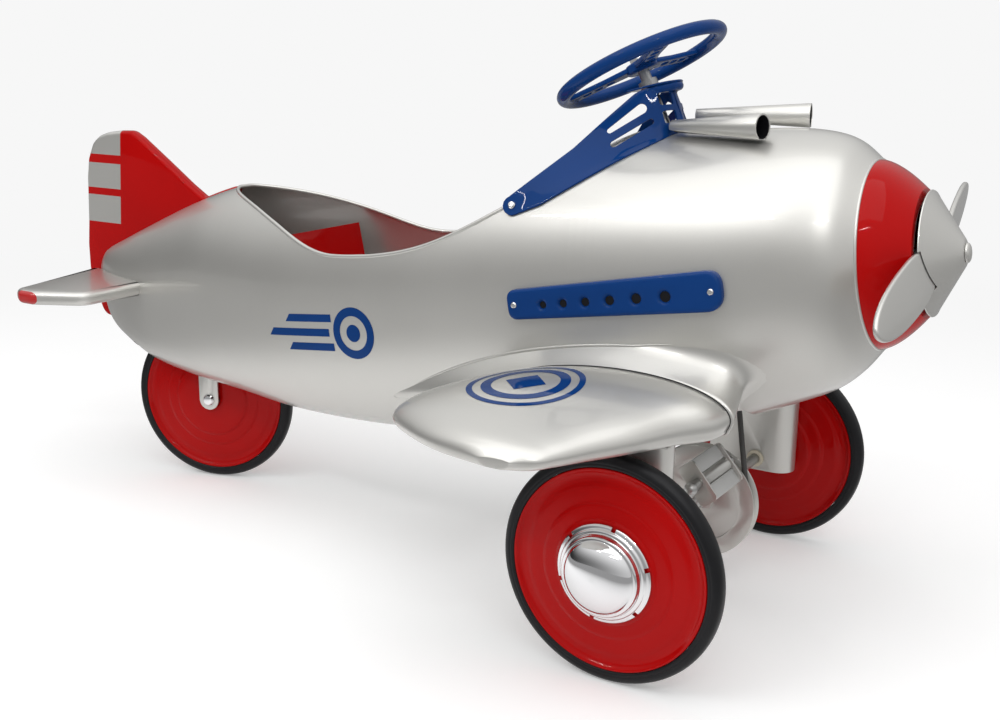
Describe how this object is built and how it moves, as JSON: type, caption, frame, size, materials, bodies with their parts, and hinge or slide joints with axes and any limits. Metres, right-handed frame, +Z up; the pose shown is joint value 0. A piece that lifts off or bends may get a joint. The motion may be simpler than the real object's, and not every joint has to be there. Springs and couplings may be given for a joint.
{
  "type": "pedal plane",
  "caption": "Child's ride-on pursuit plane in pressed steel: pedals drive a front wheel and, by a belt, the propeller; a steering wheel turns the tail wheel.",
  "frame": {"origin": "on the floor, under the middle of the bounding box", "axes": "+X to the nose, +Y to the rider's left, +Z up"},
  "size_m": [1.21, 0.6824, 0.6185],
  "materials": {
    "silver_paint": "metallic gloss",
    "red_paint": "gloss",
    "blue_paint": "gloss",
    "steel": "satin",
    "chrome": "polished",
    "tyre": "satin",
    "belt": "matte",
    "bush": "matte",
    "bearing": "satin",
    "pad": "satin"
  },
  "bodies": {
    "fuselage": {"fuselage_shell": "silver_paint", "nose_cowl": "red_paint", "nose_bulkhead": "steel", "shaft_hanger": "steel", "shaft_bearings": "bearing", "right_wing": "silver_paint", "left_wing": "silver_paint", "right_stabilizer": "silver_paint", "left_stabilizer": "silver_paint", "tail_fin": "red_paint", "windshield_frame": "blue_paint", "windshield_screws": "chrome", "right_gun": "silver_paint", "left_gun": "silver_paint", "right_exhaust_panel": "blue_paint", "left_exhaust_panel": "blue_paint", "exhaust_screws": "chrome", "right_leg": "silver_paint", "left_leg": "silver_paint", "leg_bolts": "chrome", "axle_bushes": "bush", "column_bush": "steel", "column_brace": "steel", "seat_pan": "red_paint", "seat_bars": "steel", "tail_bracket": "steel", "stem_bush": "steel", "propeller_belt": "belt"},
    "crank": {"crank_axle": "steel", "drive_pulley": "silver_paint", "axle_nuts": "chrome", "right_wheel": "red_paint", "right_tyre": "tyre", "right_hub_cap": "chrome"},
    "propeller_set": {"propeller": "silver_paint", "spinner": "silver_paint", "spinner_cap": "chrome", "propeller_shaft": "steel", "propeller_pulley": "steel"},
    "left_front_wheel": {"left_wheel": "red_paint", "left_tyre": "tyre", "left_hub_cap": "chrome"},
    "right_pedal": {"right_pedal_frame": "silver_paint", "right_pedal_pads": "pad"},
    "left_pedal": {"left_pedal_frame": "silver_paint", "left_pedal_pads": "pad"},
    "steering": {"steering_wheel": "blue_paint", "steering_column": "steel", "steering_arm": "steel", "column_nut": "chrome"},
    "fork": {"tail_fork": "silver_paint", "fork_arm_plate": "steel", "tail_axle_bolt": "chrome"},
    "tail_wheel": {"rear_wheel": "red_paint", "rear_tyre": "tyre"},
    "rod": {"steering_rod": "steel"}
  },
  "joints": [
    {"name": "crank_spin", "type": "hinge", "parent": "fuselage", "child": "crank", "pos_m": [0.353, 0, 0.114], "axis": [0, 1, 0], "continuous": true},
    {"name": "propeller_spin", "type": "hinge", "parent": "fuselage", "child": "propeller_set", "pos_m": [0.57017, 0, 0.405], "axis": [0.9925, 0, 0.1219], "continuous": true},
    {"name": "left_wheel_spin", "type": "hinge", "parent": "crank", "child": "left_front_wheel", "pos_m": [0.353, 0.22, 0.114], "axis": [0, 1, 0], "continuous": true},
    {"name": "right_pedal_spin", "type": "hinge", "parent": "crank", "child": "right_pedal", "pos_m": [0.38638, -0.062, 0.16743], "axis": [0, 1, 0], "continuous": true},
    {"name": "left_pedal_spin", "type": "hinge", "parent": "crank", "child": "left_pedal", "pos_m": [0.31961, 0.062, 0.06057], "axis": [0, 1, 0], "continuous": true},
    {"name": "steering_turn", "type": "hinge", "parent": "fuselage", "child": "steering", "pos_m": [0.26017, 0, 0.57176], "axis": [-0.454, 0, 0.891], "range_deg": [-3, 37]},
    {"name": "fork_turn", "type": "hinge", "parent": "fuselage", "child": "fork", "pos_m": [-0.371, 0, 0.25], "axis": [0, 0, 1], "range_deg": [-37, 3]},
    {"name": "rod_turn", "type": "hinge", "parent": "fork", "child": "rod", "pos_m": [-0.3827, 0.03825, 0.25], "axis": [0, 0, 1], "range_deg": [-3, 37]},
    {"name": "tail_wheel_spin", "type": "hinge", "parent": "fork", "child": "tail_wheel", "pos_m": [-0.371, 0, 0.114], "axis": [-0.2924, 0.9563, 0], "continuous": true}
  ],
  "couplings": [
    {"joint": "propeller_spin", "follows": "crank_spin", "ratio": 3.25},
    {"joint": "fork_turn", "follows": "steering_turn", "ratio": -1},
    {"joint": "rod_turn", "follows": "steering_turn", "ratio": 1}
  ]
}
